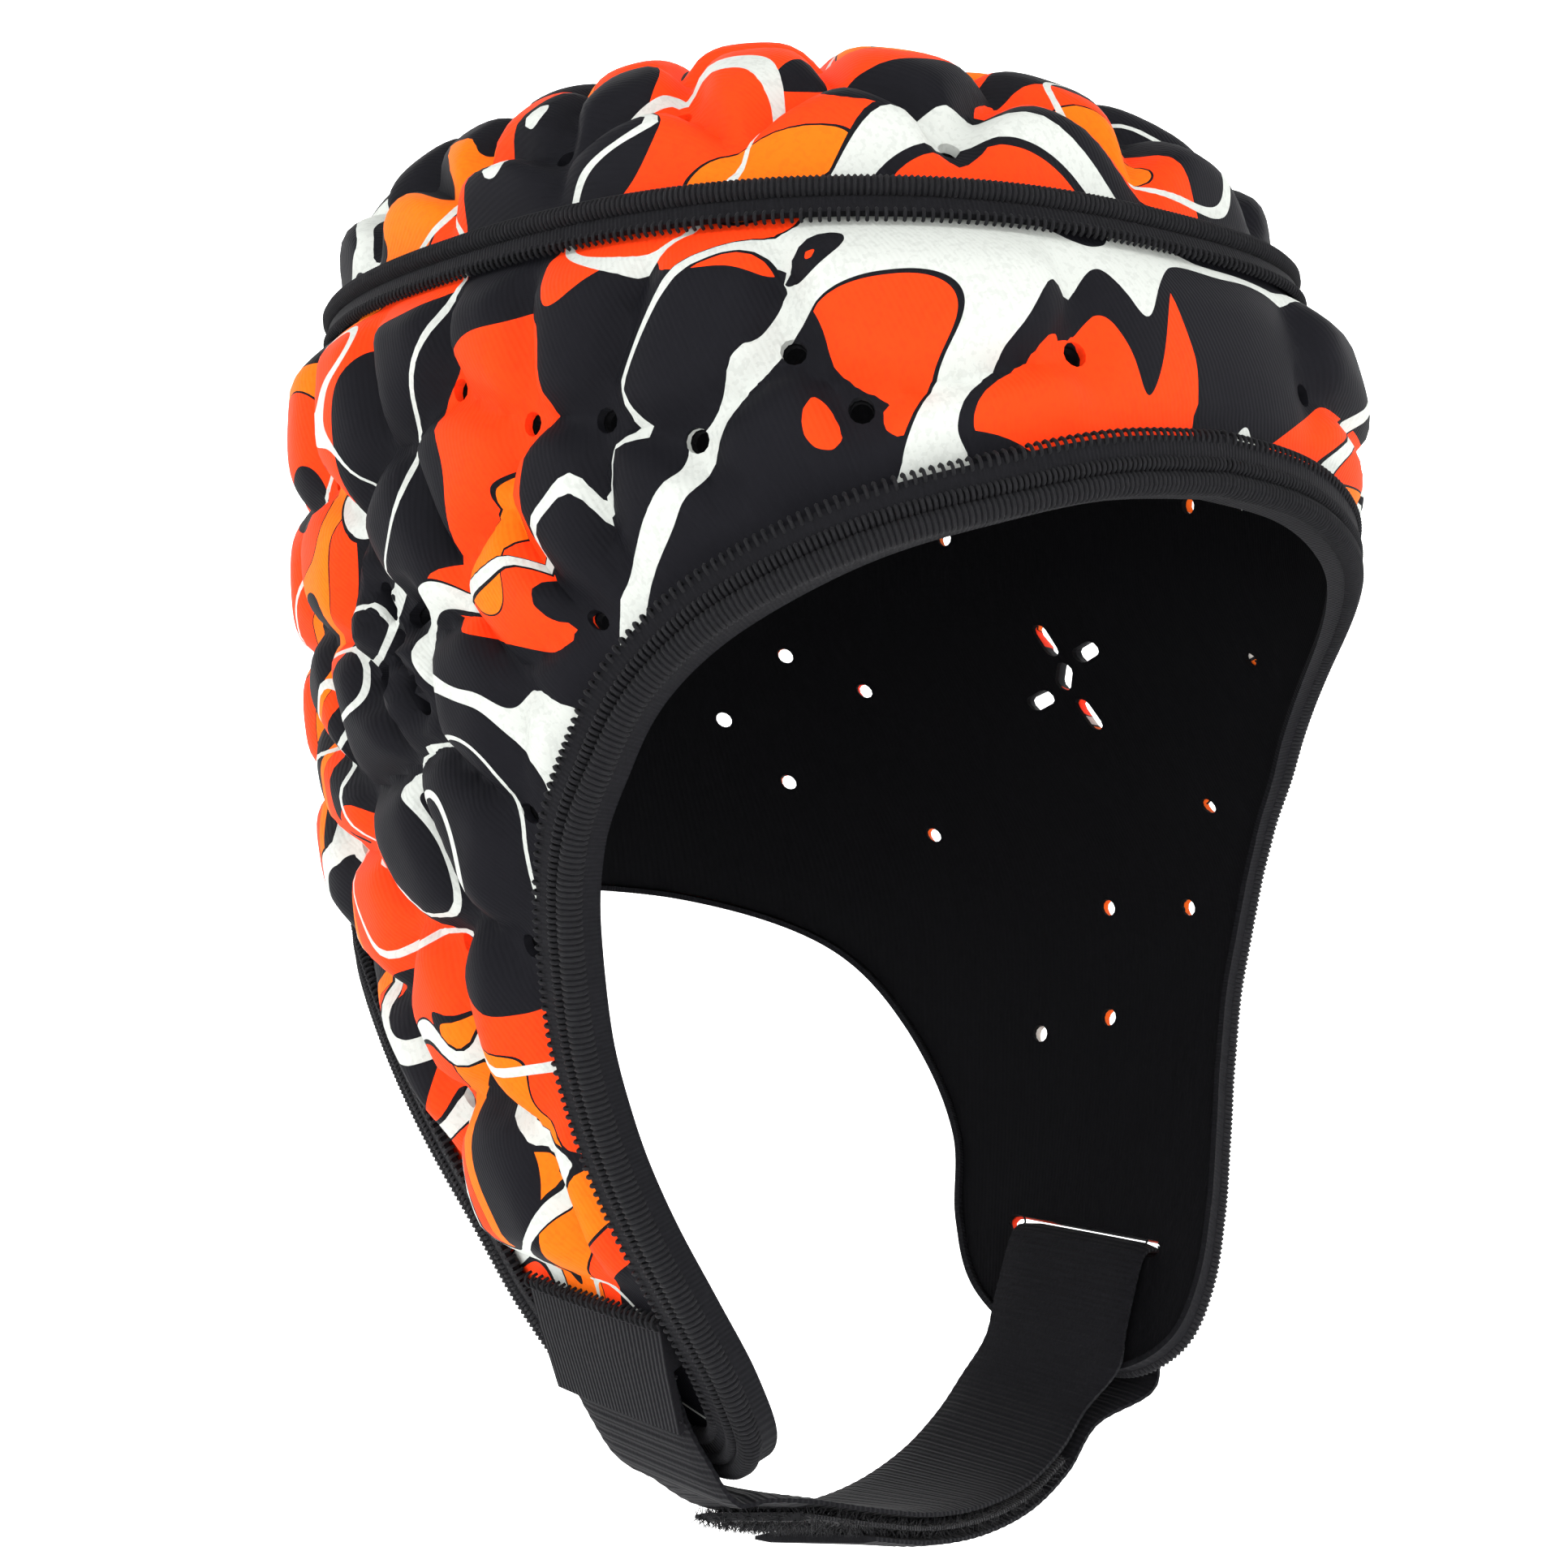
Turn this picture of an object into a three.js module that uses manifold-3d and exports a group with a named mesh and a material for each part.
// A padded rugby scrum cap: moulded foam dome and band, linings, bindings and a chin strap.
// Millimetres, +Z up. The wearer faces -Y, and their left side is at +X.
// The origin is the top of the hollow, where the crown of the head meets the lining.

import * as THREE from "three";
import Module from "manifold-3d";
import { mergeVertices } from "three/addons/utils/BufferGeometryUtils.js";

const wasm = await Module();
wasm.setup();

// Head form, measured over the grooves of the padding. Heights are measured from the ear line.
const HEAD_WIDTH = 173;
const HEAD_LENGTH = 207.5;
const DOME_BASE = 48;
const DOME_RISE = 82;
const CROWN_LEAN = 16;
const FLAP_DROP = 116;
const FRONT_SHARE = 0.482;
const FRONT_SQUARENESS = 2.5;
const BACK_SQUARENESS = 2.25;
const DOME_SQUARENESS = 2.75;

// Level sections: up is a share of DOME_BASE above the ear line and of FLAP_DROP below it,
// width a share of HEAD_WIDTH, centre a share of HEAD_LENGTH towards the back.
const SECTIONS = [
  { up: 1, width: 0.983, centre: 0 },
  { up: 0.21, width: 1, centre: -0.096 },
  { up: -0.215, width: 0.971, centre: -0.202 },
  { up: -0.552, width: 0.861, centre: -0.217 },
  { up: -0.862, width: 0.671, centre: -0.217 },
  { up: -1.078, width: 0.509, centre: -0.217 },
];

// Walls
const PAD_SKIN = 1.5;
const LINING = 1.2;
const GAP = 0.3;
const FACE_PLAY = 0.6;
const CROWN_PUFF = 9;
const SIDE_PUFF = 7.5;
const GROOVE_RISE = 1;
const SHOULDER_SPREAD = 0.7;
const SHOULDER_HEIGHT = 0.8;
const PUFF_RUN = 12;

// The seam between dome and band, and its ribbed tape
const SEAM_RISE = 42.5;
const TAPE_WIDTH = 8.4;
const TAPE_PROUD = 5;
const TAPE_THICKNESS = 1.3;

// The binding along the lower outline
const BINDING_WIDTH = 9;
const BINDING_THICKNESS = 1.2;
const BEAD_HALF = 2.1;
const BEAD_PROUD = 3;
const BINDING_PLAY = 0.9;

// Vents
const VENT_DIAMETER = 3.5;
const EAR_SLOT_WIDTH = 3.6;
const EAR_SLOT_LENGTH = 8.5;

// Chin strap
const STRAP_WIDTH = 34;
const STRAP_THICKNESS = 1.8;
const STRAP_SAG = 17;
const PATCH_THICKNESS = 1.4;
const LAYER_GAP = 0.8;
const STRAP_PLAY = 1.2;
const PANEL_THICKNESS = 1.3;
const PANEL_HEIGHT = 16;
const FLAT_DEPTH = 30;
const SLOT_DEPTH = 22;
const SLOT_HEIGHT = 5.4;
const SLOT_CLEARANCE = 3.4;

// Fineness of the facets
const FORM_COLUMNS = 32;
const COLUMN_EASE = 0.2;
const FORM_STEP = 27;
const DOME_RINGS = 4;
const GROOVE_STEP = 40;
const OUTLINE_STEP = 19;
const OUTLINE_TURN = 40;
const CURVE_POINTS = 300;
const WELD = 0.02;
const PAST = 5;
const SHELL_OUT = 14;
const SHELL_IN = 10;

const COLOURS = { print: 0xf24a16, black: 0x1c1c1f, strap: 0x161618 };

// The lower outline of one half, from the middle of the brow round the flap to the nape.
// Angles run from the front to the back; up is a share of DOME_BASE or of FLAP_DROP as above.
const OUTLINE = [
  { at: 0, up: 1 }, { at: 13, up: 0.96 }, { at: 25, up: 0.865 }, { at: 36, up: 0.76 },
  { at: 47, up: 0.615 }, { at: 57, up: 0.46 }, { at: 66, up: 0.28 }, { at: 74.5, up: 0.05 },
  { at: 84, up: -0.085 }, { at: 91, up: -0.2 }, { at: 94.5, up: -0.345 }, { at: 94, up: -0.485 },
  { at: 92, up: -0.62 }, { at: 89, up: -0.735 }, { at: 86.5, up: -0.845 }, { at: 88, up: -0.935 },
  { at: 97, up: -0.99 }, { at: 110, up: -1 }, { at: 123, up: -0.985 }, { at: 133, up: -0.925 },
  { at: 136, up: -0.82 }, { at: 136.5, up: -0.67 }, { at: 142, up: -0.48 },
  { at: 150.5, up: -0.32 }, { at: 164, up: -0.225 }, { at: 180, up: -0.19 },
];

// Middles of the side pillows of one half, by level. One at 0 or 180 lies on the middle line.
const SIDE_PILLOWS = [
  { up: 1.6, at: [64, 77, 92] },
  { up: 1.4, at: [0, 33, 51, 110, 127, 146, 164, 180] },
  { up: 1.06, at: [30, 43, 83] },
  { up: 0.83, at: [55, 67, 93, 118, 136, 154, 172] },
  { up: 0.66, at: [75] },
  { up: 0.5, at: [105, 163, 180] },
  { up: 0.27, at: [71, 89, 119, 127, 146] },
  { up: 0.02, at: [80, 132, 159, 175] },
  { up: -0.1, at: [100, 116, 145] },
  { up: -0.21, at: [92, 131] },
  { up: -0.32, at: [107, 122] },
  { up: -0.42, at: [94, 136] },
  { up: -0.59, at: [97, 117] },
];
const BROW_PANEL = { at: 0, puff: 0.25 };

// Middles of the dome's pillows of one half; out is a share of the way from apex to seam.
const DOME_PILLOWS = [
  { out: 0.9, at: [12, 34, 57, 79, 101, 123, 146, 169] },
  { out: 0.72, at: [0, 22, 43, 61, 78, 96, 114, 135, 157, 180] },
  { out: 0.48, at: [14, 44, 68, 95, 125, 157] },
  { out: 0.22, at: [0, 62, 120, 180] },
];

// Round vents of one half. Each lies at the groove crossing nearest to its place.
const SIDE_VENTS = [
  { up: 1.19, at: [23.5] }, { up: 0.98, at: [57] }, { up: 1.27, at: [64] },
  { up: 1.53, at: [87, 118] }, { up: 0.61, at: [65.5, 146.5] }, { up: 1.1, at: [155] },
  { up: -0.06, at: [92] }, { up: -0.22, at: [102] }, { up: -0.27, at: [119] },
  { up: -0.55, at: [115] },
];
const DOME_VENTS = [
  { out: 0.8, at: [24, 77, 112, 150] },
];

// The ear vent: five slots in a star, by their place from its middle in slot lengths.
const EAR_VENT = { at: 104, up: 0.5 };
const EAR_SLOTS = [
  { back: 0, up: 0, turn: 125 },
  { back: 0, up: 0.97, turn: 80 },
  { back: -1.25, up: 0.62, turn: 158 },
  { back: 1.25, up: -0.62, turn: 158 },
  { back: -0.15, up: -1.02, turn: 80 },
];

// The strap's way from under the right flap to under the left one: across is a share of the way,
// down of STRAP_SAG, back of HEAD_LENGTH, and tilt is the rise of its front edge in degrees.
const CHIN_ROUTE = [
  { across: 0.06, down: 0.28, back: -0.002, tilt: 6 },
  { across: 0.16, down: 0.54, back: -0.006, tilt: 14 },
  { across: 0.3, down: 0.78, back: -0.008, tilt: 14 },
  { across: 0.45, down: 0.95, back: -0.002, tilt: 10 },
  { across: 0.6, down: 1, back: 0.008, tilt: 6 },
  { across: 0.75, down: 0.9, back: 0.02, tilt: 2 },
  { across: 0.87, down: 0.64, back: 0.03, tilt: 0 },
  { across: 0.96, down: 0.3, back: 0.038, tilt: 0 },
];

const SEAM = DOME_BASE + SEAM_RISE;
const LINING_TOP = PAD_SKIN + GAP;
const WALL = LINING_TOP + LINING;
const LENGTH_PER_CHART_RADIUS = 2.18;
const CHART_RADIUS = HEAD_LENGTH / LENGTH_PER_CHART_RADIUS;
const PAD_FACE = GAP + FACE_PLAY;
const BACK_SHARE = 1 - FRONT_SHARE;
const STRAP_ANGLE = 112.8;
const ROOT_ANGLE = 114;
// Degrees that the strap turns forward from one station to the next below its root
const ROOT_TWIST = 1;
const PANEL_DROP = 2;
const ROOT_DROP = 8;
const UNDER_DROP = 1;
const BEAD_RISE = 6;
// How far past a tape's edge a pillow's fade begins
const FADE_PAST = 2;

const radians = THREE.MathUtils.degToRad;
const clamp = THREE.MathUtils.clamp;
const heightOf = (up) => up * (up < 0 ? FLAP_DROP : DOME_BASE);

// Cubic between the level sections, level at the top one.
const LEVELS = SECTIONS.map((row) => ({
  height: heightOf(row.up),
  halfWidth: (row.width * HEAD_WIDTH) / 2,
  centre: row.centre * HEAD_LENGTH,
})).reverse();

function slopeAt(index, key) {
  if (index === LEVELS.length - 1) return 0;
  const before = LEVELS[Math.max(index - 1, 0)];
  const after = LEVELS[index + 1];
  return (after[key] - before[key]) / (after.height - before.height);
}

function sectionAt(height) {
  const bounded = clamp(height, LEVELS[0].height, DOME_BASE);
  let index = 0;
  while (index < LEVELS.length - 2 && LEVELS[index + 1].height < bounded) index += 1;
  const [low, high] = [LEVELS[index], LEVELS[index + 1]];
  const span = high.height - low.height;
  const t = (bounded - low.height) / span;
  const blend = (key) =>
    (2 * t ** 3 - 3 * t ** 2 + 1) * low[key] +
    (t ** 3 - 2 * t ** 2 + t) * span * slopeAt(index, key) +
    (3 * t ** 2 - 2 * t ** 3) * high[key] +
    (t ** 3 - t ** 2) * span * slopeAt(index + 1, key);
  return { halfWidth: blend("halfWidth"), centre: blend("centre") };
}

// Radius of a level section at an angle from the front.
function ringRadius(angle, section) {
  const front = Math.cos(angle) > 0;
  const reach = front
    ? FRONT_SHARE * HEAD_LENGTH + section.centre
    : BACK_SHARE * HEAD_LENGTH - section.centre;
  const power = front ? FRONT_SQUARENESS : BACK_SQUARENESS;
  const across = Math.abs(Math.sin(angle)) / section.halfWidth;
  const along = Math.abs(Math.cos(angle)) / reach;
  return (across ** power + along ** power) ** (-1 / power);
}

// A point of the groove level. The band's chart is the length round the head and the height.
function bandPoint(round, height) {
  const angle = round / CHART_RADIUS;
  const section = sectionAt(height);
  const rise = clamp((height - DOME_BASE) / DOME_RISE, 0, 1);
  const shrink = (1 - rise ** DOME_SQUARENESS) ** (1 / DOME_SQUARENESS);
  const radius = ringRadius(angle, section) * shrink;
  const back = section.centre + CROWN_LEAN * rise ** 1.5;
  return new THREE.Vector3(radius * Math.sin(angle), back - radius * Math.cos(angle), height);
}

// The dome's chart is the plan of its apex, rolled out by the angle from the vertical.
function domePoint(x, y) {
  const angle = Math.atan2(x, -y);
  const tip = Math.hypot(x, y) / CHART_RADIUS;
  const base = sectionAt(DOME_BASE);
  const out = Math.sin(tip) / ringRadius(angle, base);
  const up = Math.cos(tip) / DOME_RISE;
  const length = (out ** DOME_SQUARENESS + up ** DOME_SQUARENESS) ** (-1 / DOME_SQUARENESS);
  const radius = length * Math.sin(tip);
  const rise = (length * Math.cos(tip)) / DOME_RISE;
  const back = base.centre + CROWN_LEAN * rise ** 1.5;
  return new THREE.Vector3(
    radius * Math.sin(angle),
    back - radius * Math.cos(angle),
    DOME_BASE + rise * DOME_RISE,
  );
}

// How far out on the dome's chart a height lies, in the direction of an angle.
function domeChartRadius(angle, height) {
  const rise = (height - DOME_BASE) / DOME_RISE;
  const shrink = (1 - rise ** DOME_SQUARENESS) ** (1 / DOME_SQUARENESS);
  const radius = ringRadius(angle, sectionAt(DOME_BASE)) * shrink;
  return CHART_RADIUS * Math.atan2(radius, rise * DOME_RISE);
}

// Unit directions at a chart point: along its first axis, along its second, and outwards.
function directionsAt(surface, u, v) {
  const step = 0.5;
  const first = surface(u + step, v).sub(surface(u - step, v)).normalize();
  const second = surface(u, v + step).sub(surface(u, v - step)).normalize();
  const out = first.clone().cross(second).normalize();
  return { first, second, out };
}

// Real length round the head of one chart unit
const stretchAt = (round, height) =>
  bandPoint(round + 0.5, height).distanceTo(bandPoint(round - 0.5, height));

const raised = (surface, u, v, offset) =>
  surface(u, v).addScaledVector(directionsAt(surface, u, v).out, offset);

// Triangle lists become three.js geometry, and manifold-3d solids and back.
function geometryFrom(points, faces) {
  const geometry = new THREE.BufferGeometry().setFromPoints(points);
  geometry.setIndex(faces.flat());
  return geometry;
}

function solidFrom(source) {
  const geometry = source.clone();
  geometry.deleteAttribute("normal");
  geometry.deleteAttribute("uv");
  const merged = mergeVertices(geometry, 1e-3);
  const corners = Array.from(merged.index.array);
  const triVerts = [];
  for (let i = 0; i < corners.length; i += 3) {
    const [a, b, c] = corners.slice(i, i + 3);
    if (a !== b && b !== c && c !== a) triVerts.push(a, b, c);
  }
  const mesh = new wasm.Mesh({
    numProp: 3,
    vertProperties: merged.attributes.position.array,
    triVerts: new Uint32Array(triVerts),
  });
  mesh.merge();
  return new wasm.Manifold(mesh);
}

function geometryOf(solid) {
  const mesh = solid.getMesh();
  const geometry = new THREE.BufferGeometry();
  const positions = new THREE.BufferAttribute(mesh.vertProperties, mesh.numProp);
  geometry.setAttribute("position", positions);
  geometry.setIndex(new THREE.BufferAttribute(mesh.triVerts, 1));
  return geometry;
}

const joined = (solids) => solids.reduce((sum, solid) => sum.add(solid));

// Columns of facets, closer together towards the back, where the sections reach furthest
function columnAngle(column) {
  const turn = (2 * Math.PI * column) / FORM_COLUMNS;
  return turn + COLUMN_EASE * Math.sin(turn);
}

// The groove-level form of the band, moved out or in by an offset, as one closed solid.
function bandSolid(offset) {
  const [bottom, top] = [PUFF_BOTTOM, SEAM + PAST];
  const rows = Math.ceil((top - bottom) / FORM_STEP);
  const points = [];
  for (let row = 0; row <= rows; row += 1) {
    const height = bottom + ((top - bottom) * row) / rows;
    for (let column = 0; column < FORM_COLUMNS; column += 1) {
      const point = raised(bandPoint, columnAngle(column) * CHART_RADIUS, height, offset);
      points.push(point.setZ(height));
    }
  }
  return closedRings(points, FORM_COLUMNS);
}

// The groove-level form of the dome, down to just under the seam, as one closed solid.
function domeSolid(offset) {
  const points = [];
  for (let ring = DOME_RINGS; ring > 0; ring -= 1) {
    for (let column = 0; column < FORM_COLUMNS; column += 1) {
      const angle = columnAngle(column);
      const out = (domeChartRadius(angle, SEAM - PAST) * ring) / DOME_RINGS;
      points.push(raised(domePoint, out * Math.sin(angle), -out * Math.cos(angle), offset));
    }
  }
  return closedRings(points, FORM_COLUMNS, raised(domePoint, 0, 0, offset));
}

// Everything between two heights
function slab(bottom, top) {
  const box = new THREE.BoxGeometry(2 * HEAD_LENGTH, 2 * HEAD_LENGTH, top - bottom);
  return solidFrom(box.translate(0, 0, (bottom + top) / 2));
}

// Rings of points from bottom to top, closed by a fan at both ends.
function closedRings(points, count, apex) {
  const faces = [];
  const rings = points.length / count;
  for (let ring = 0; ring < rings - 1; ring += 1) {
    for (let i = 0; i < count; i += 1) {
      const next = (i + 1) % count;
      const [a, b] = [ring * count + i, ring * count + next];
      faces.push([a, b, b + count], [a, b + count, a + count]);
    }
  }
  const middleOf = (start) =>
    points
      .slice(start, start + count)
      .reduce((sum, point) => sum.add(point), new THREE.Vector3())
      .divideScalar(count);
  const last = (rings - 1) * count;
  const all = [...points, middleOf(0), apex ?? middleOf(last)];
  for (let i = 0; i < count; i += 1) {
    const next = (i + 1) % count;
    faces.push([next, i, points.length], [last + i, last + next, points.length + 1]);
  }
  return solidFrom(geometryFrom(all, faces));
}

// Pillows: each is the part of the chart nearer to its own middle than to any other.
const mirroredTwice = (at) => (at === 0 || at === 180 ? [at] : [at, -at]);

function sideMiddles() {
  const middles = [];
  for (const row of SIDE_PILLOWS) {
    for (const at of row.at) {
      const puff = at === BROW_PANEL.at ? BROW_PANEL.puff : 1;
      for (const angle of mirroredTwice(at)) {
        const x = radians(angle) * CHART_RADIUS;
        middles.push({ x, y: heightOf(row.up), puff: puff * SIDE_PUFF });
      }
    }
  }
  return middles;
}

function domeMiddles() {
  const middles = [];
  for (const row of DOME_PILLOWS) {
    for (const at of row.at) {
      for (const angle of mirroredTwice(at).map(radians)) {
        const out = row.out * domeChartRadius(angle, SEAM);
        middles.push({ x: out * Math.sin(angle), y: -out * Math.cos(angle), puff: CROWN_PUFF });
      }
    }
  }
  return middles;
}

// The part of a polygon on the near side of the line halfway to another middle.
function nearSide(polygon, middle, other) {
  const [x, y] = [(middle.x + other.x) / 2, (middle.y + other.y) / 2];
  const [dx, dy] = [other.x - middle.x, other.y - middle.y];
  const beyond = (point) => (point.x - x) * dx + (point.y - y) * dy;
  return clipped(polygon, beyond);
}

function clipped(polygon, beyond) {
  const kept = [];
  polygon.forEach((point, index) => {
    const next = polygon[(index + 1) % polygon.length];
    const [here, there] = [beyond(point), beyond(next)];
    if (here <= 0) kept.push(point);
    if (here * there < 0) {
      const t = here / (here - there);
      kept.push({ x: point.x + t * (next.x - point.x), y: point.y + t * (next.y - point.y) });
    }
  });
  return kept;
}

// Long groove edges get points of their own, so that they follow the head.
function subdivided(polygon) {
  return polygon.flatMap((point, index) => {
    const next = polygon[(index + 1) % polygon.length];
    const length = Math.hypot(next.x - point.x, next.y - point.y);
    const pieces = Math.max(1, Math.round(length / GROOVE_STEP));
    return Array.from({ length: pieces }, (_, i) => ({
      x: point.x + ((next.x - point.x) * i) / pieces,
      y: point.y + ((next.y - point.y) * i) / pieces,
    }));
  });
}

function cellsOf(middles, neighbours, boundary) {
  return middles.map((middle) => {
    let polygon = boundary(middle);
    for (const other of neighbours) {
      if (other.x === middle.x && other.y === middle.y) continue;
      polygon = nearSide(polygon, middle, other);
    }
    return { middle, corners: polygon, groove: subdivided(polygon) };
  });
}

const TURN = 2 * Math.PI * CHART_RADIUS;
const PUFF_BOTTOM = LEVELS[0].height;
const PUFF_TOP = SEAM - TAPE_WIDTH / 2 - GAP;

function sideCells() {
  const middles = sideMiddles();
  const turned = (shift) => middles.map((middle) => ({ ...middle, x: middle.x + shift }));
  const neighbours = [...middles, ...turned(TURN), ...turned(-TURN)];
  return cellsOf(middles, neighbours, (middle) => [
    { x: middle.x - TURN / 2, y: PUFF_BOTTOM },
    { x: middle.x + TURN / 2, y: PUFF_BOTTOM },
    { x: middle.x + TURN / 2, y: PUFF_TOP },
    { x: middle.x - TURN / 2, y: PUFF_TOP },
  ]);
}

const DOME_BOTTOM = SEAM + TAPE_WIDTH / 2 + GAP;

function domeCells() {
  const middles = domeMiddles();
  const rim = Array.from({ length: FORM_COLUMNS }, (_, i) => {
    const angle = (2 * Math.PI * i) / FORM_COLUMNS;
    const out = domeChartRadius(angle, DOME_BOTTOM);
    return { x: out * Math.sin(angle), y: -out * Math.cos(angle) };
  });
  return cellsOf(middles, middles, () => rim);
}

// The padded outer face: groove, shoulder and middle of each pillow, closed by fans at the rims.
function pillowSolid(surface, cells, fade, capMiddles) {
  const points = [];
  const faces = [];
  const add = (place, offset) => {
    points.push(raised(surface, place.x, place.y, GROOVE_RISE + offset));
    return points.length - 1;
  };
  for (const { middle, groove } of cells) {
    const centre = { x: 0, y: 0 };
    for (const point of groove) {
      centre.x += point.x / groove.length;
      centre.y += point.y / groove.length;
    }
    const outer = groove.map((point) => add(point, 0));
    const shoulder = groove.map((point) => {
      const place = {
        x: centre.x + SHOULDER_SPREAD * (point.x - centre.x),
        y: centre.y + SHOULDER_SPREAD * (point.y - centre.y),
      };
      return add(place, SHOULDER_HEIGHT * middle.puff * fade(place));
    });
    const top = add(centre, middle.puff * fade(centre));
    groove.forEach((_, i) => {
      const j = (i + 1) % groove.length;
      faces.push([outer[i], outer[j], shoulder[j]], [outer[i], shoulder[j], shoulder[i]]);
      faces.push([shoulder[i], shoulder[j], top]);
    });
  }
  return solidFrom(withCaps(points, faces, capMiddles));
}

// Points that coincide become one. Open edges are those with a face on one side only.
function weldedFaces(points, faces) {
  const kept = [];
  const indices = points.map((point) => {
    const found = kept.findIndex((other) => other.distanceTo(point) < WELD);
    return found < 0 ? kept.push(point) - 1 : found;
  });
  const welded = faces
    .map((face) => face.map((index) => indices[index]))
    .filter(([a, b, c]) => a !== b && b !== c && c !== a);
  const open = new Map();
  for (const face of welded) {
    face.forEach((from, i) => {
      const to = face[(i + 1) % 3];
      if (!open.delete(`${to}>${from}`)) open.set(`${from}>${to}`, [from, to]);
    });
  }
  return { kept, indices, welded, open: [...open.values()] };
}

// Every open edge joins the nearer of the cap middles.
function withCaps(points, faces, capMiddles) {
  const { kept, welded, open } = weldedFaces(points, faces);
  const caps = open.map(([from, to]) => {
    const distances = capMiddles.map((middle) => Math.abs(middle.z - kept[from].z));
    return [to, from, kept.length + distances.indexOf(Math.min(...distances))];
  });
  return geometryFrom([...kept, ...capMiddles], [...welded, ...caps]);
}

// The lower outline as a closed loop of chart places, right half first.
const halfOutline = spacedByTurn(
  new THREE.SplineCurve(
    OUTLINE.map(({ at, up }) => new THREE.Vector2(radians(at) * CHART_RADIUS, heightOf(up))),
  ).getSpacedPoints(CURVE_POINTS),
);

// Points that lie closer together where the curve turns
function spacedByTurn(points) {
  const kept = [points[0]];
  let load = 0;
  for (let i = 1; i < points.length - 1; i += 1) {
    const [back, here, ahead] = points.slice(i - 1, i + 2).map(({ x, y }) => bandPoint(x, y));
    const before = here.clone().sub(back);
    const turn = before.angleTo(ahead.sub(here));
    load += before.length() / OUTLINE_STEP + turn / radians(OUTLINE_TURN);
    if (load < 1) continue;
    kept.push(points[i]);
    load = 0;
  }
  return [...kept, points[points.length - 1]];
}

const LOOP = [
  ...halfOutline.slice(1, -1).reverse().map((place) => new THREE.Vector2(-place.x, place.y)),
  ...halfOutline,
];

// Frames along the outline: a point of the groove level with its outward, forward and inward way.
const EDGE = LOOP.map((place, index) => {
  const before = LOOP[(index + LOOP.length - 1) % LOOP.length];
  const after = LOOP[(index + 1) % LOOP.length];
  const point = bandPoint(place.x, place.y);
  const { out } = directionsAt(bandPoint, place.x, place.y);
  const along = bandPoint(after.x, after.y).sub(bandPoint(before.x, before.y)).normalize();
  const inward = out.clone().cross(along).normalize();
  return { place, point, out, along, inward };
});

const edgePoint = (frame, inward, out) =>
  frame.point.clone().addScaledVector(frame.inward, inward).addScaledVector(frame.out, out);

// The chart place of a point close to the band
function placeOnBand(point) {
  const angle = Math.atan2(point.x, sectionAt(point.z).centre - point.y);
  return { x: angle * CHART_RADIUS, y: point.z };
}

// A point beside the outline that keeps to the round of the band
function beside(frame, inward, out) {
  const place = placeOnBand(edgePoint(frame, inward, 0));
  return raised(bandPoint, place.x, place.y, out);
}

// Distance from the outline, for pillows that flatten towards the binding.
const edgeCurve = EDGE.map((frame) => frame.point);
function distanceToEdge(point) {
  let nearest = Infinity;
  const closest = new THREE.Vector3();
  edgeCurve.forEach((from, index) => {
    const to = edgeCurve[(index + 1) % edgeCurve.length];
    new THREE.Line3(from, to).closestPointToPoint(point, true, closest);
    nearest = Math.min(nearest, closest.distanceTo(point));
  });
  return nearest;
}

const FLAT_LEVEL = -FLAP_DROP + FLAT_DEPTH;
const BAND_FLOOR = -2 * FLAP_DROP;
const smooth = (value) => THREE.MathUtils.smoothstep(value, 0, 1);

function sideFade(place) {
  const point = bandPoint(place.x, place.y);
  const fromEdge = smooth((distanceToEdge(point) - BINDING_WIDTH) / PUFF_RUN);
  const fromFlat = smooth((place.y - FLAT_LEVEL) / PUFF_RUN);
  const fromSeam = smooth((PUFF_TOP + FADE_PAST - place.y) / PUFF_RUN);
  return fromEdge * fromFlat * fromSeam;
}

function domeFade(place) {
  const angle = Math.atan2(place.x, -place.y);
  const rim = domeChartRadius(angle, DOME_BOTTOM);
  return smooth((rim + FADE_PAST - Math.hypot(place.x, place.y)) / PUFF_RUN);
}

// A thick shell over all of the band that lies above the outline, moved in by an inset.
// It is made square by square of the chart, so that it follows the head.
function aboveOutline(inset, floor) {
  const outline = EDGE.map((frame) => placeOnBand(edgePoint(frame, inset, 0)));
  for (const place of outline) place.y = Math.max(place.y, floor);
  const end = outline.pop();
  const top = SEAM + 2 * PAST;
  const region = [
    { x: -TURN / 2, y: end.y }, ...outline, { x: TURN / 2, y: end.y },
    { x: TURN / 2, y: top }, { x: -TURN / 2, y: top },
  ].map(({ x, y }) => new THREE.Vector2(x, y));
  const triangles = THREE.ShapeUtils.triangulateShape(region, []);
  const rows = Math.ceil((top - PUFF_BOTTOM) / FORM_STEP);
  const height = (top - PUFF_BOTTOM) / rows;
  const places = [];
  const faces = [];
  for (let column = -FORM_COLUMNS / 2; column < FORM_COLUMNS / 2; column += 1) {
    const [left, right] = [column, column + 1].map((side) => columnAngle(side) * CHART_RADIUS);
    for (let row = 0; row < rows; row += 1) {
      const low = PUFF_BOTTOM + row * height;
      const sides = [
        (p) => left - p.x, (p) => p.x - right, (p) => low - p.y, (p) => p.y - low - height,
      ];
      for (const triangle of triangles) {
        const piece = sides.reduce(clipped, triangle.map((index) => region[index]));
        for (let i = 2; i < piece.length; i += 1) {
          faces.push([places.length, places.length + i - 1, places.length + i]);
        }
        places.push(...piece);
      }
    }
  }
  return thickened(places, faces);
}

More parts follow.
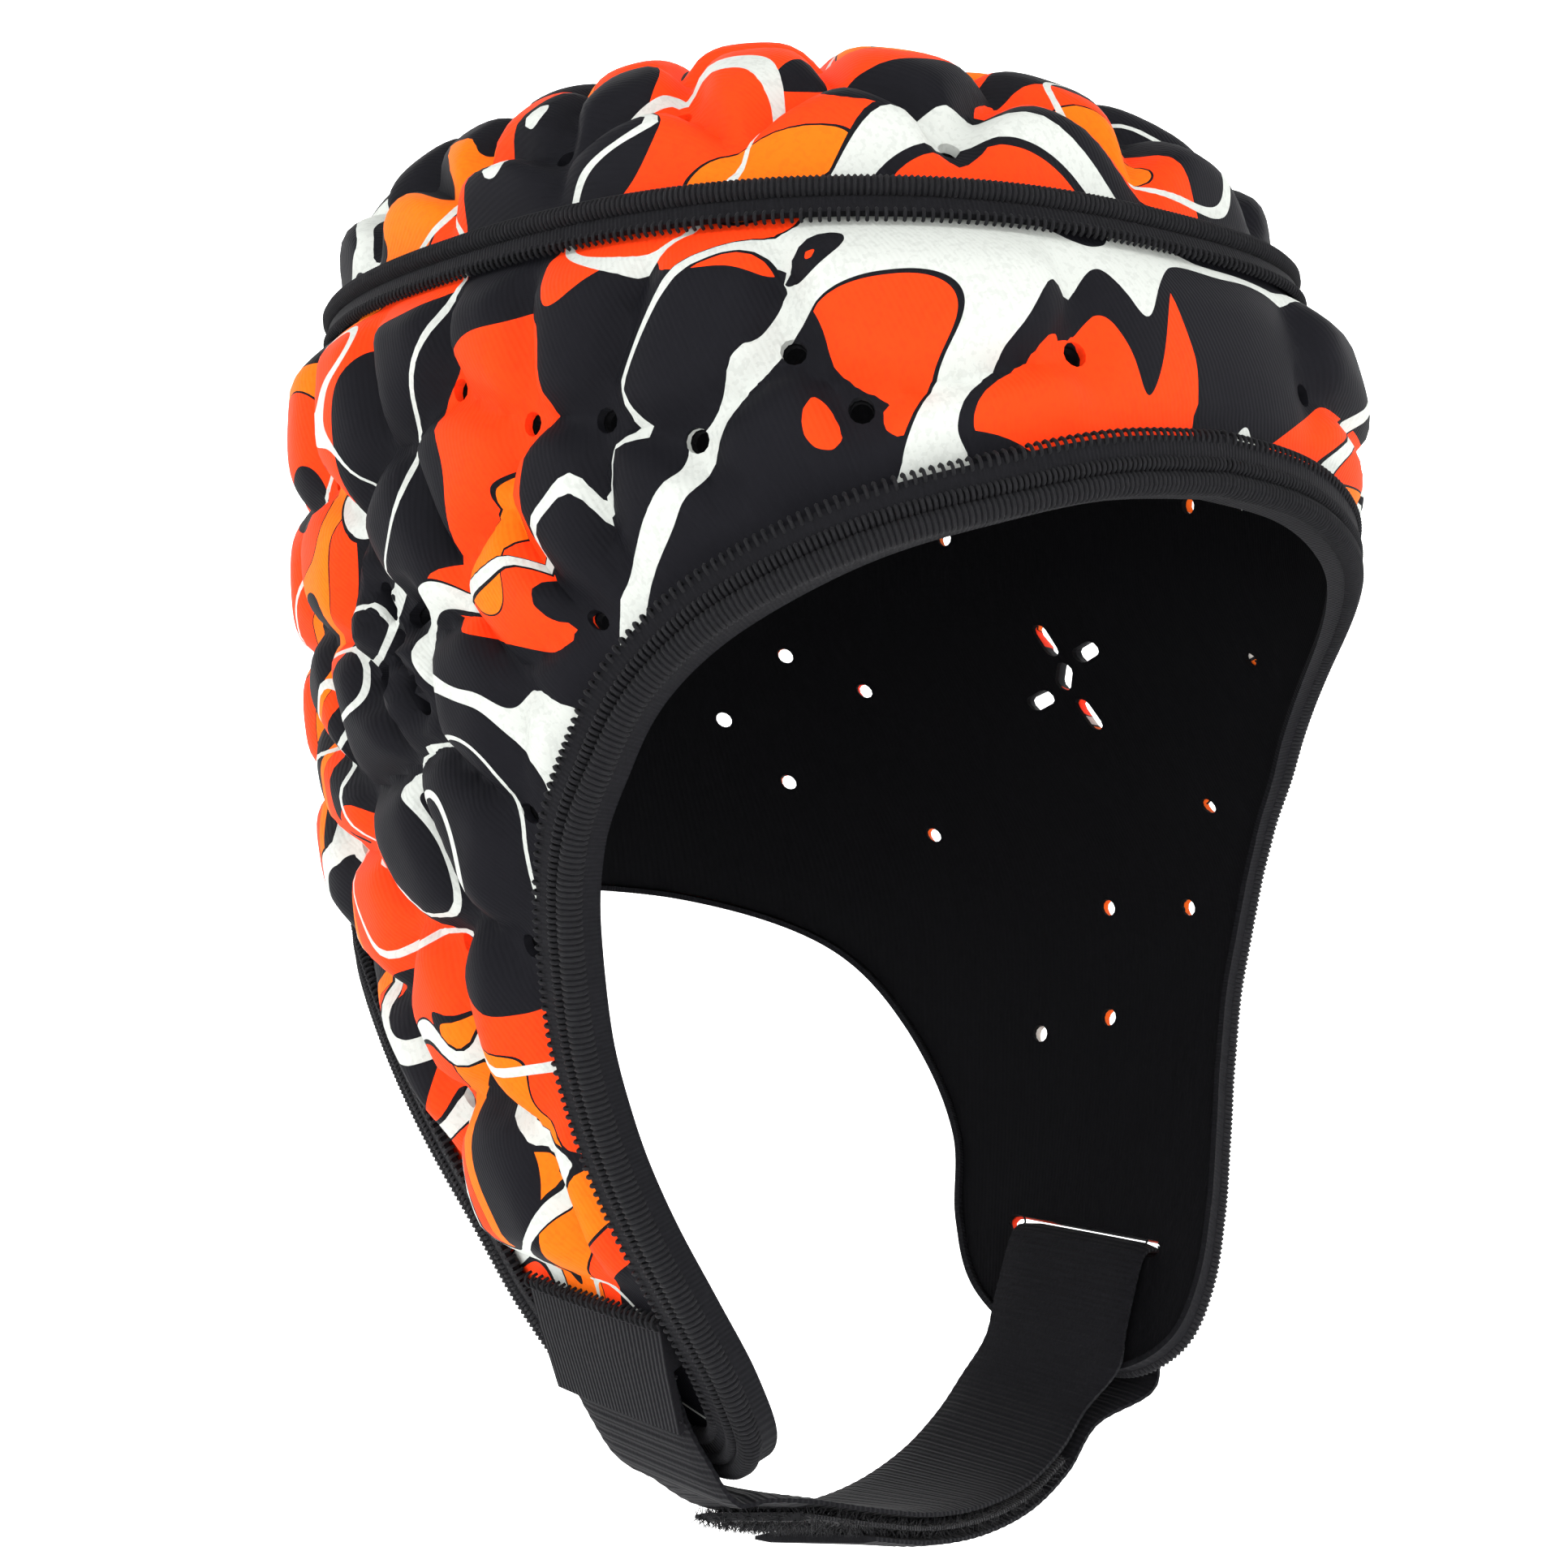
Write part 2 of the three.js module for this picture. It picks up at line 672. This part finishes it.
// Gives a face list on the band's chart a thickness that takes in the whole wall.
function thickened(places, faces) {
  const outside = places.map((place) => raised(bandPoint, place.x, place.y, SHELL_OUT));
  const { kept, indices, open, welded } = weldedFaces(outside, faces);
  const inside = [];
  places.forEach((place, index) => {
    inside[indices[index]] = raised(bandPoint, place.x, place.y, -SHELL_IN);
  });
  const count = kept.length;
  const turned = welded.map(([a, b, c]) => [c + count, b + count, a + count]);
  const walls = open.flatMap(([from, to]) => [
    [to, from, from + count],
    [to, from + count, to + count],
  ]);
  return solidFrom(geometryFrom([...kept, ...inside], [...welded, ...turned, ...walls]));
}

// Vents
const VENT_REACH = 40;
const VENT_SIDES = 4;

function ventAt(surface, place) {
  const cylinder = new THREE.CylinderGeometry(
    VENT_DIAMETER / 2, VENT_DIAMETER / 2, VENT_REACH, VENT_SIDES,
  );
  const { out } = directionsAt(surface, place.x, place.y);
  const up = new THREE.Vector3(0, 1, 0);
  const middle = surface(place.x, place.y);
  cylinder.applyQuaternion(new THREE.Quaternion().setFromUnitVectors(up, out));
  cylinder.translate(middle.x, middle.y, middle.z);
  return solidFrom(cylinder);
}

function nearestCorner(cells, place) {
  const corners = cells.flatMap((cell) => cell.corners);
  const distance = (corner) => Math.hypot(corner.x - place.x, corner.y - place.y);
  return corners.reduce((best, corner) => (distance(corner) < distance(best) ? corner : best));
}

function placesOf(rows, chart) {
  return rows.flatMap((row) =>
    row.at.flatMap((at) => mirroredTwice(at).map((angle) => chart(row, radians(angle)))),
  );
}

const sidePlace = (row, angle) => ({ x: angle * CHART_RADIUS, y: heightOf(row.up) });
const domePlace = (row, angle) => {
  const out = row.out * domeChartRadius(angle, SEAM);
  return { x: out * Math.sin(angle), y: -out * Math.cos(angle) };
};

// A round-ended slot through the wall, turned in its face.
function slotSolid(place, turn, length, width) {
  const half = (length - width) / 2;
  const shape = new THREE.Shape();
  shape.absarc(half, 0, width / 2, -Math.PI / 2, Math.PI / 2, false);
  shape.absarc(-half, 0, width / 2, Math.PI / 2, (3 * Math.PI) / 2, false);
  const geometry = new THREE.ExtrudeGeometry(shape, {
    depth: VENT_REACH,
    bevelEnabled: false,
    curveSegments: 2,
  });
  geometry.translate(0, 0, -VENT_REACH / 2);
  geometry.rotateZ(turn);
  const { first, out } = directionsAt(bandPoint, place.x, place.y);
  const upward = out.clone().cross(first);
  geometry.applyMatrix4(new THREE.Matrix4().makeBasis(first, upward, out));
  const middle = bandPoint(place.x, place.y);
  geometry.translate(middle.x, middle.y, middle.z);
  return solidFrom(geometry);
}

function earVent(side) {
  const middle = sidePlace(EAR_VENT, side * radians(EAR_VENT.at));
  return joined(
    EAR_SLOTS.map(({ back, up, turn }) => {
      const place = {
        x: middle.x + side * back * EAR_SLOT_LENGTH,
        y: middle.y + up * EAR_SLOT_LENGTH,
      };
      const angle = side > 0 ? radians(turn) : Math.PI - radians(turn);
      return slotSolid(place, angle, EAR_SLOT_LENGTH, EAR_SLOT_WIDTH);
    }),
  );
}

// The strap's slot in the left flap
const STRAP_ROUND = radians(STRAP_ANGLE) * CHART_RADIUS;
const SLOT_LEVEL = -FLAP_DROP + SLOT_DEPTH;

function strapSlot() {
  const length = STRAP_WIDTH + 2 * SLOT_CLEARANCE;
  return slotSolid({ x: STRAP_ROUND, y: SLOT_LEVEL }, 0, length, SLOT_HEIGHT);
}

// Ribbed tape over the seam: a flat flange below and a rolled rib above it.
function crownTape() {
  const base = PAD_FACE;
  const half = TAPE_WIDTH / 2;
  const section = [
    [base, -half], [base + TAPE_THICKNESS, -half], [base + 1.3 * TAPE_THICKNESS, -0.1 * half],
    [0.85 * TAPE_PROUD, 0.05 * half], [TAPE_PROUD, 0.5 * half], [0.75 * TAPE_PROUD, 0.9 * half],
    [base + TAPE_THICKNESS, half], [base, 0.9 * half],
  ];
  const frames = Array.from({ length: FORM_COLUMNS }, (_, i) => {
    const round = (TURN * i) / FORM_COLUMNS;
    return { point: bandPoint(round, SEAM), ...directionsAt(bandPoint, round, SEAM) };
  });
  return sweptLoop(frames, section, (frame, [out, up]) =>
    frame.point.clone().addScaledVector(frame.out, out).addScaledVector(frame.second, up),
  );
}

// Folded binding: a flat strip on the outside and a ribbed bead round the raw edge.
function edgeBinding() {
  const strip = PAD_FACE + BINDING_THICKNESS;
  const inside = -WALL - BINDING_PLAY;
  const section = [
    [BINDING_WIDTH - GAP, PAD_FACE], [BINDING_WIDTH - GAP, strip],
    [1.3 * BEAD_HALF, strip], [0.6 * BEAD_HALF, BEAD_PROUD], [-0.6 * BEAD_HALF, BEAD_PROUD],
    [-1.2 * BEAD_HALF, 0.3 * BEAD_PROUD], [-0.9 * BEAD_HALF, inside],
    [-BINDING_PLAY, inside], [-BINDING_PLAY, PAD_FACE],
  ];
  return sweptLoop(EDGE, section, (frame, [inward, out]) =>
    inward > 0 ? beside(frame, inward, out) : edgePoint(frame, inward, out),
  );
}

function sweptLoop(frames, section, place) {
  const points = frames.flatMap((frame) => section.map((corner) => place(frame, corner)));
  const size = section.length;
  const faces = [];
  frames.forEach((_, ring) => {
    const next = (ring + 1) % frames.length;
    for (let i = 0; i < size; i += 1) {
      const j = (i + 1) % size;
      const [a, b] = [ring * size + i, ring * size + j];
      const [c, d] = [next * size + i, next * size + j];
      faces.push([a, c, d], [a, d, b]);
    }
  });
  return outward(solidFrom(geometryFrom(points, faces)), points, faces);
}

function outward(solid, points, faces) {
  if (solid.volume() > 0) return solid;
  return solidFrom(geometryFrom(points, faces.map(([a, b, c]) => [c, b, a])));
}

// Strap stations hold the ribbon's rear edge, middle and front edge. On a flap it lies at an
// offset from the groove level and follows the flap's round.
function flapStation(side, { at, height, offset }) {
  const round = side * radians(at) * CHART_RADIUS;
  const reach = (side * STRAP_WIDTH) / 2 / stretchAt(round, height);
  return [1, 0, -1].map((share) => raised(bandPoint, round + share * reach, height, offset));
}

const HALF_STRAP = STRAP_THICKNESS / 2;
const INSIDE_FLAP = -WALL - GAP - STRAP_PLAY - HALF_STRAP;
const OUTSIDE_FLAP = PAD_FACE + HALF_STRAP;
const OUTSIDE_STRIP = PAD_FACE + BINDING_THICKNESS + GAP + STRAP_PLAY + HALF_STRAP;
const OUTSIDE_BEAD = BEAD_PROUD + GAP + STRAP_PLAY + HALF_STRAP;
const INSIDE_BEAD = -WALL - BINDING_PLAY - GAP - STRAP_PLAY - HALF_STRAP;
const LAYERS = STRAP_THICKNESS + PATCH_THICKNESS + 2 * LAYER_GAP;
const FOLD_RADIUS = (OUTSIDE_STRIP - INSIDE_FLAP) / 2;
const FOLD_MIDDLE = (OUTSIDE_STRIP + INSIDE_FLAP) / 2;
const FOLD_LEVEL = SLOT_LEVEL - FOLD_RADIUS;
const UNDER_FLAP = -FLAP_DROP - UNDER_DROP;

// The chin stretch: between the two flap stations beside it, each share of the way across.
const rightFoot = flapStation(-1, { at: ROOT_ANGLE - 3 * ROOT_TWIST, height: UNDER_FLAP, offset: OUTSIDE_BEAD });
const leftFoot = flapStation(1, { at: STRAP_ANGLE, height: UNDER_FLAP, offset: INSIDE_BEAD });

function chinStations(offset) {
  const middles = CHIN_ROUTE.map(({ across, down, back }) => {
    const middle = rightFoot[1].clone().lerp(leftFoot[1], across);
    middle.y = rightFoot[1].y + back * HEAD_LENGTH;
    return middle.setZ(UNDER_FLAP - down * STRAP_SAG);
  });
  return middles.map((middle, i) => {
    const before = middles[i - 1] ?? rightFoot[1];
    const after = middles[i + 1] ?? leftFoot[1];
    const along = after.clone().sub(before).normalize();
    const tilt = radians(CHIN_ROUTE[i].tilt);
    const across = new THREE.Vector3(0, Math.cos(tilt), -Math.sin(tilt));
    const out = along.cross(across).normalize();
    if (out.z > 0) out.negate();
    return [1, 0, -1].map((share) =>
      middle
        .clone()
        .addScaledVector(out, offset)
        .addScaledVector(across, (share * STRAP_WIDTH) / 2),
    );
  });
}

// The fold through the slot, from the inside of the left flap over its lip to the outside.
function foldStations() {
  return [0, 45, 90, 135, 180].map((turn) => {
    const height = FOLD_LEVEL + FOLD_RADIUS * Math.sin(radians(turn));
    const offset = FOLD_MIDDLE - FOLD_RADIUS * Math.cos(radians(turn));
    return flapStation(1, { at: STRAP_ANGLE, height, offset });
  });
}

function strapStations() {
  const foot = PANEL_LEVEL - PANEL_HEIGHT;
  const bead = -FLAP_DROP + BEAD_RISE;
  const root = [
    { at: ROOT_ANGLE, height: ROOT_TOP, offset: OUTSIDE_FLAP },
    { at: ROOT_ANGLE - ROOT_TWIST, height: foot, offset: OUTSIDE_STRIP },
    { at: ROOT_ANGLE - 2 * ROOT_TWIST, height: bead, offset: OUTSIDE_BEAD },
    { at: ROOT_ANGLE - 3 * ROOT_TWIST, height: UNDER_FLAP, offset: OUTSIDE_BEAD },
  ].map((place) => flapStation(-1, place));
  const inside = [
    { at: STRAP_ANGLE, height: UNDER_FLAP, offset: INSIDE_BEAD },
    { at: STRAP_ANGLE, height: bead, offset: INSIDE_BEAD },
  ].map((place) => flapStation(1, place));
  const outside = [
    { at: STRAP_ANGLE, height: bead, offset: OUTSIDE_BEAD },
    { at: STRAP_ANGLE, height: UNDER_FLAP, offset: OUTSIDE_BEAD },
  ].map((place) => flapStation(1, place));
  const folded = chinStations(LAYERS).slice(2).reverse();
  return [...root, ...chinStations(0), ...inside, ...foldStations(), ...outside, ...folded];
}

// A flat band swept through stations, with its two ends closed.
function ribbon(stations, thickness) {
  const points = stations.flatMap((station, i) => {
    const before = stations[Math.max(i - 1, 0)][1];
    const after = stations[Math.min(i + 1, stations.length - 1)][1];
    const across = station[0].clone().sub(station[2]);
    const face = after.clone().sub(before).cross(across).setLength(thickness / 2);
    const outer = station.map((point) => point.clone().add(face));
    const inner = station.map((point) => point.clone().sub(face)).reverse();
    return [...outer, ...inner];
  });
  const faces = [[0, 1, 4], [0, 4, 5], [1, 2, 3], [1, 3, 4]];
  const end = points.length - 6;
  faces.push(...faces.map(([a, b, c]) => [end + c, end + b, end + a]));
  for (let ring = 0; ring < end; ring += 6) {
    for (let i = 0; i < 6; i += 1) {
      const j = (i + 1) % 6;
      faces.push([ring + j, ring + i, ring + 6 + i], [ring + j, ring + 6 + i, ring + 6 + j]);
    }
  }
  return outward(solidFrom(geometryFrom(points, faces)), points, faces);
}

// The panel that sews the strap's root to the right flap: thin above, raised over the root.
const PANEL_LEVEL = FLAT_LEVEL - PANEL_DROP;
const ROOT_TOP = PANEL_LEVEL - ROOT_DROP;

function strapAnchor() {
  const over = OUTSIDE_FLAP + HALF_STRAP + 2 * GAP;
  const overFoot = OUTSIDE_STRIP + HALF_STRAP + 2 * GAP;
  const foot = PANEL_LEVEL - PANEL_HEIGHT;
  const section = [
    [PANEL_LEVEL, PAD_FACE], [PANEL_LEVEL, PAD_FACE + PANEL_THICKNESS],
    [ROOT_TOP + 1, over + PANEL_THICKNESS], [foot, overFoot + PANEL_THICKNESS],
    [foot, overFoot], [ROOT_TOP + 2 * GAP, over], [ROOT_TOP + 2 * GAP, PAD_FACE],
  ];
  const reach = (STRAP_WIDTH / 2 + 1) / stretchAt(-STRAP_ROUND, foot);
  const shares = [1, 0.6, 0.2, -0.2, -0.6, -1];
  const points = shares.flatMap((share) =>
    section.map(([height, out]) => {
      const round = -STRAP_ROUND + share * reach;
      return raised(bandPoint, round, height, out);
    }),
  );
  const size = section.length;
  const flat = section.map(([height, out]) => new THREE.Vector2(height, out));
  const cap = THREE.ShapeUtils.triangulateShape(flat, []);
  const last = (shares.length - 1) * size;
  const turnedCap = cap.map(([a, b, c]) => [last + c, last + b, last + a]);
  const faces = [...cap, ...turnedCap];
  for (let ring = 0; ring < shares.length - 1; ring += 1) {
    for (let i = 0; i < size; i += 1) {
      const j = (i + 1) % size;
      const [a, b] = [ring * size + i, ring * size + j];
      faces.push([b, a, a + size], [b, a + size, b + size]);
    }
  }
  return outward(solidFrom(geometryFrom(points, faces)), points, faces);
}

// The fuzzy patch between the strap and its folded end
function loopPatch() {
  const offset = HALF_STRAP + LAYER_GAP + PATCH_THICKNESS / 2;
  return ribbon(chinStations(offset).slice(1, 7), PATCH_THICKNESS);
}

// Assembly
const outlineShell = aboveOutline(0, PUFF_BOTTOM);
const sideVents = placesOf(SIDE_VENTS, sidePlace);
const sideGrid = sideCells();
const domeGrid = domeCells();
const sideCuts = joined([
  ...sideVents.map((place) => ventAt(bandPoint, nearestCorner(sideGrid, place))),
  earVent(1),
  earVent(-1),
  strapSlot(),
]);
const domeCuts = joined(
  placesOf(DOME_VENTS, domePlace).map((place) =>
    ventAt(domePoint, nearestCorner(domeGrid, place)),
  ),
);

const overSeam = slab(SEAM + GAP / 2, SEAM + HEAD_LENGTH);
const underSeam = slab(BAND_FLOOR, SEAM - GAP / 2);

function crownPad() {
  const middle = new THREE.Vector3(0, 0, DOME_BOTTOM);
  return pillowSolid(domePoint, domeGrid, domeFade, [middle])
    .add(domeSolid(0).intersect(overSeam))
    .subtract(domeSolid(-PAD_SKIN))
    .subtract(domeCuts);
}

function sidePad() {
  const capMiddles = [PUFF_BOTTOM, PUFF_TOP].map((height) => {
    const { centre } = sectionAt(height);
    return new THREE.Vector3(0, centre, height);
  });
  const puffed = pillowSolid(bandPoint, sideGrid, sideFade, capMiddles);
  return puffed
    .intersect(aboveOutline(BINDING_WIDTH + BINDING_PLAY, FLAT_LEVEL - PAST))
    .intersect(slab(FLAT_LEVEL, SEAM))
    .add(bandSolid(0).intersect(outlineShell).intersect(underSeam))
    .subtract(bandSolid(-PAD_SKIN))
    .subtract(sideCuts);
}

const crownLining = () =>
  domeSolid(-LINING_TOP).subtract(domeSolid(-WALL)).intersect(overSeam).subtract(domeCuts);

const sideLining = () =>
  bandSolid(-LINING_TOP)
    .subtract(bandSolid(-WALL))
    .intersect(outlineShell)
    .intersect(underSeam)
    .subtract(sideCuts);

function named(name, solid, color, roughness) {
  const material = new THREE.MeshStandardMaterial({ color, roughness, metalness: 0 });
  const mesh = new THREE.Mesh(geometryOf(solid), material);
  mesh.name = name;
  return mesh;
}

const cap = new THREE.Group();
cap.add(
  named("crown_pad", crownPad(), COLOURS.print, 0.75),
  named("side_pad", sidePad(), COLOURS.print, 0.75),
  named("crown_lining", crownLining(), COLOURS.black, 0.85),
  named("side_lining", sideLining(), COLOURS.black, 0.85),
  named("crown_binding", crownTape(), COLOURS.black, 0.7),
  named("edge_binding", edgeBinding(), COLOURS.black, 0.7),
  named("strap_anchor", strapAnchor(), COLOURS.strap, 0.8),
  named("chin_strap", ribbon(strapStations(), STRAP_THICKNESS), COLOURS.strap, 0.8),
  named("loop_patch", loopPatch(), COLOURS.strap, 0.95),
);
cap.position.set(0, -CROWN_LEAN, -(DOME_BASE + DOME_RISE - WALL));

const part = new THREE.Group();
part.add(cap);

export default part;
